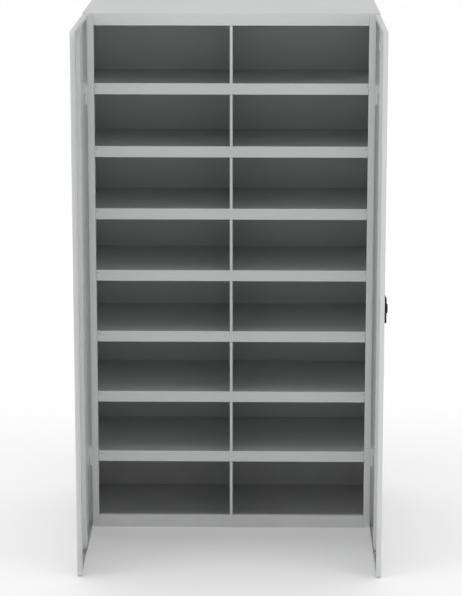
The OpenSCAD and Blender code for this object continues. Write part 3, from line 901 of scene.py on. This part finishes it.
# A pan-head screw that points along +X: a domed head and a shank, spun, and the two bars of the
# cross that is cut in it.
def screwShells(sizes, x, end, y, z):
    look = screwLook
    width, tall, shank = sizes
    radius, shank, seat = width / 2, shank / 2, x + tall
    angle = np.radians(np.linspace(0, look["domeAngle"], look["domePoints"]))
    dome = np.stack([radius * np.sin(angle), x + look["domeRise"] * tall * (1 - np.cos(angle))], 1)
    body = [
        (radius, x + look["rim"] * tall), (radius, seat), (shank, seat), (shank, end - look["tipLong"]),
        (look["tipWide"] * shank, end), (0, end),
    ]
    shell = spin(np.concatenate([dome, body]), (0, y, z), 0, look["segments"])
    long, slim = (share * radius for share in look["recess"])
    front, deep = x - cutterSpare, x + look["recessDeep"] * tall
    cross = [boxShell((front, y - a, z - b), (deep, y + a, z + b)) for a, b in ((long, slim), (slim, long))]
    return shell, cross


# One piece of the given screws, with the bars of their crosses cut one after another.
def addScrews(name, made, body, node):
    screws = makePiece(name, *joined(*(shell for shell, _ in made)), nickel)
    for _, cross in made:
        for bar in cross:
            cutOut(screws, bar)
    place(screws, body, node)


# Two screws, one at each end of their node's box.
def addLockScrews():
    low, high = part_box("lock_screws")
    middleY, radius = (low.y + high.y) / 2, (high.y - low.y) / 2
    heights = (low.z + radius, high.z - radius)
    made = [screwShells(screwLook["lockHead"], low.x, high.x, middleY, z) for z in heights]
    addScrews("lockScrews", made, "right_door", "lock_screws")


# One screw in the middle of its node's box.
def addSpindleScrew():
    low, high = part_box("spindle_screw")
    middle = (low + high) / 2
    made = [screwShells(screwLook["spindleHead"], low.x, high.x, middle.y, middle.z)]
    addScrews("spindleScrew", made, "handle", "spindle_screw")


addHandlePlate()
addTurnKnob()
addLockCylinder()
addLockScrews()
addSpindleScrew()
print("handle and lock built")


stageLook = {
    "size": 120.0,
    "lightness": 0.93,
    "patches": (0.8, 2.0, 0.5),    # noise: scale per metre, detail and roughness
    "patchDark": 0.99,
    "roughness": 0.9,
}
lightLook = {
    "skyRest": 0.30,             # light from above, behind and the sides
    "skyFront": 0.50,            # light from the side that the doors open to
    "seenSky": 1.0,              # what the camera sees behind the cabinet
}
# Degrees round from the front, degrees up, strength, and softness in degrees.
sunLook = {
    "topLight": (180, 84, 2.05, 90),
    "leftLight": (-62, 12, 0.85, 36),
    "rightLight": (62, 12, 0.70, 36),
}


# A pale square floor with the origin in its middle.
def addFloor():
    half, pale = stageLook["size"] / 2, stageLook["lightness"]
    g = Finish("floorFinish")
    patches = g.noise(*stageLook["patches"])
    colour = g.blend(patches, rgb(pale * stageLook["patchDark"]), rgb(pale))
    g.set(Base_Color=colour, Roughness=stageLook["roughness"])
    points = [(-half, -half, 0), (half, -half, 0), (half, half, 0), (-half, half, 0)]
    floor = makePiece("floor", points, [[0, 1, 2, 3]], g.material)


# A far light, spread over a wide angle so that its shadows are soft.
def addSun(name, around, up, strength, softness):
    light = bpy.data.lights.new(name, "SUN")
    light.energy = strength
    light.angle = math.radians(softness)
    around, up = math.radians(around), math.radians(up)
    source = Vector((math.sin(around) * math.cos(up), -math.cos(around) * math.cos(up), math.sin(up)))
    lamp = bpy.data.objects.new(name, light)
    lamp.rotation_mode = "QUATERNION"
    lamp.rotation_quaternion = (-source).to_track_quat("-Z", "Y")
    bpy.context.scene.collection.objects.link(lamp)


# Light from all round, which passes from one strength to another towards the front. The camera
# sees plain white in its place.
def addSky():
    world = bpy.data.worlds.new("studio")
    bpy.context.scene.world = world
    g = Graph(world)
    direction = g.add("ShaderNodeTexCoord", output="Generated")
    backward = g.add("ShaderNodeSeparateXYZ", sockets={0: direction}, output="Y")
    ends = {"From Min": 0, "From Max": -1, "To Min": lightLook["skyRest"], "To Max": lightLook["skyFront"]}
    strength = g.add("ShaderNodeMapRange", sockets={"Value": backward, **ends})
    lit = g.tree.nodes["Background"]
    g.feed(lit.inputs["Color"], rgb(1.0))
    g.feed(lit.inputs["Strength"], strength)
    seen = g.add("ShaderNodeBackground", sockets={"Color": rgb(1.0), "Strength": lightLook["seenSky"]})
    cameraRay = g.add("ShaderNodeLightPath", output="Is Camera Ray")
    sockets = {0: cameraRay, 1: Wire(g, lit.outputs[0]), 2: seen}
    sky = g.add("ShaderNodeMixShader", sockets=sockets)
    g.feed(g.tree.nodes["World Output"].inputs["Surface"], sky)


cameraLook = {
    "place": (0.1084, -7.7111, 2.6019),
    "down": 11.527,              # degrees below level
    "turn": 0.836,               # degrees to the left
    "lens": 134.82,
    "sensor": 36,
    "shift": -0.12,
    "seesTo": 200,               # metres
}


# The camera looks along +Y, tipped below level and turned to the left, with its view shifted down.
def addCamera():
    data = bpy.data.cameras.new("camera")
    data.lens = cameraLook["lens"]
    data.sensor_width = cameraLook["sensor"]
    data.shift_y = cameraLook["shift"]
    data.clip_end = cameraLook["seesTo"]
    camera = bpy.data.objects.new("camera", data)
    camera.location = cameraLook["place"]
    camera.rotation_euler = (math.radians(90 - cameraLook["down"]), 0, math.radians(cameraLook["turn"]))
    bpy.context.scene.collection.objects.link(camera)
    bpy.context.scene.camera = camera


addFloor()
addSky()
for sunName, sunValues in sunLook.items():
    addSun(sunName, *sunValues)
addCamera()
bpy.context.scene.view_settings.view_transform = "Standard"
print("stage, lights and camera set")
